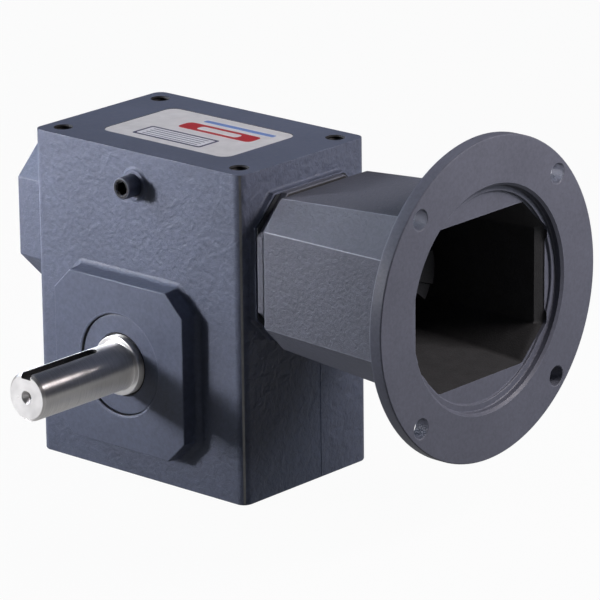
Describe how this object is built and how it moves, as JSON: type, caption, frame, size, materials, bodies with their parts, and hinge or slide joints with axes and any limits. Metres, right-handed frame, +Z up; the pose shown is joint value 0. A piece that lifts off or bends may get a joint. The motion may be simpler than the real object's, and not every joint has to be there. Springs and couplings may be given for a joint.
{
  "type": "industrial gearbox",
  "caption": "Right-angle worm gear reducer in a painted cast-iron box, with a keyed steel output shaft and a tapered adapter ending in a round face-mount motor flange.",
  "frame": {"origin": "on the base face, straight under the crossing of the output shaft axis and the worm shaft axis", "axes": "+X along the worm shaft from the closed end to the motor flange, -Y along the output shaft out of the front pad, +Z up from the base face"},
  "size_m": [0.2842, 0.2075, 0.2052],
  "materials": {
    "blue_grey_paint": "satin blue-grey paint over cast iron",
    "adapter_paint": "satin blue-grey paint over rough casting",
    "plate_aluminium": "satin plate with coloured fields",
    "ground_steel": "ground bright steel",
    "bearing_steel": "polished bearing steel",
    "black_oxide_steel": "black oxide",
    "bronze": "machined bronze",
    "cast_iron": "machined grey iron",
    "seal_rubber": "black nitrile rubber",
    "gasket_fibre": "dark gasket sheet",
    "spider_rubber": "black moulded elastomer"
  },
  "bodies": {
    "gearbox_frame": {"housing": "blue_grey_paint", "nameplate": "plate_aluminium", "vent_plug": "blue_grey_paint", "drain_plug": "blue_grey_paint", "output_cover": "blue_grey_paint", "cover_gasket": "gasket_fibre", "cover_bolt_1": "black_oxide_steel", "cover_bolt_2": "black_oxide_steel", "cover_bolt_3": "black_oxide_steel", "cover_bolt_4": "black_oxide_steel", "motor_adapter": "adapter_paint", "adapter_gasket": "gasket_fibre", "adapter_bolt_1": "black_oxide_steel", "adapter_bolt_2": "black_oxide_steel", "adapter_bolt_3": "black_oxide_steel", "adapter_bolt_4": "black_oxide_steel", "output_seal_case": "blue_grey_paint", "output_seal_lip": "seal_rubber", "input_seal": "seal_rubber", "output_cup_front": "bearing_steel", "output_cup_rear": "bearing_steel", "worm_outer_ring_input": "bearing_steel", "worm_outer_ring_closed": "bearing_steel"},
    "output_rotor": {"output_shaft": "ground_steel", "gear_rim": "bronze", "gear_hub": "cast_iron", "gear_key": "ground_steel", "gear_spacer": "ground_steel", "output_cone_front": "bearing_steel", "output_cone_rear": "bearing_steel"},
    "worm_rotor": {"worm_shaft": "ground_steel", "worm_inner_ring_input": "bearing_steel", "worm_inner_ring_closed": "bearing_steel", "snap_ring": "black_oxide_steel", "coupling_hub": "cast_iron", "coupling_key": "ground_steel", "coupling_set_screw": "black_oxide_steel", "coupling_spider": "spider_rubber"},
    "front_bearing_cage": {"output_cage_front": "bearing_steel"},
    "rear_bearing_cage": {"output_cage_rear": "bearing_steel"},
    "input_bearing_cage": {"worm_cage_input": "bronze"},
    "closed_bearing_cage": {"worm_cage_closed": "bronze"}
  },
  "joints": [
    {"name": "output_spin", "type": "hinge", "parent": "gearbox_frame", "child": "output_rotor", "pos_m": [0, 0, 0.0624], "axis": [0, 1, 0], "continuous": true},
    {"name": "worm_spin", "type": "hinge", "parent": "gearbox_frame", "child": "worm_rotor", "pos_m": [0, 0, 0.1227], "axis": [1, 0, 0], "continuous": true},
    {"name": "front_cage_spin", "type": "hinge", "parent": "gearbox_frame", "child": "front_bearing_cage", "pos_m": [0, 0, 0.0624], "axis": [0, 1, 0], "continuous": true},
    {"name": "rear_cage_spin", "type": "hinge", "parent": "gearbox_frame", "child": "rear_bearing_cage", "pos_m": [0, 0, 0.0624], "axis": [0, 1, 0], "continuous": true},
    {"name": "input_cage_spin", "type": "hinge", "parent": "gearbox_frame", "child": "input_bearing_cage", "pos_m": [0, 0, 0.1227], "axis": [1, 0, 0], "continuous": true},
    {"name": "closed_cage_spin", "type": "hinge", "parent": "gearbox_frame", "child": "closed_bearing_cage", "pos_m": [0, 0, 0.1227], "axis": [1, 0, 0], "continuous": true}
  ],
  "couplings": [
    {"joint": "worm_spin", "follows": "output_spin", "ratio": -30},
    {"joint": "front_cage_spin", "follows": "output_spin", "ratio": 0.448},
    {"joint": "rear_cage_spin", "follows": "output_spin", "ratio": 0.448},
    {"joint": "input_cage_spin", "follows": "output_spin", "ratio": -11.95},
    {"joint": "closed_cage_spin", "follows": "output_spin", "ratio": -11.53}
  ]
}
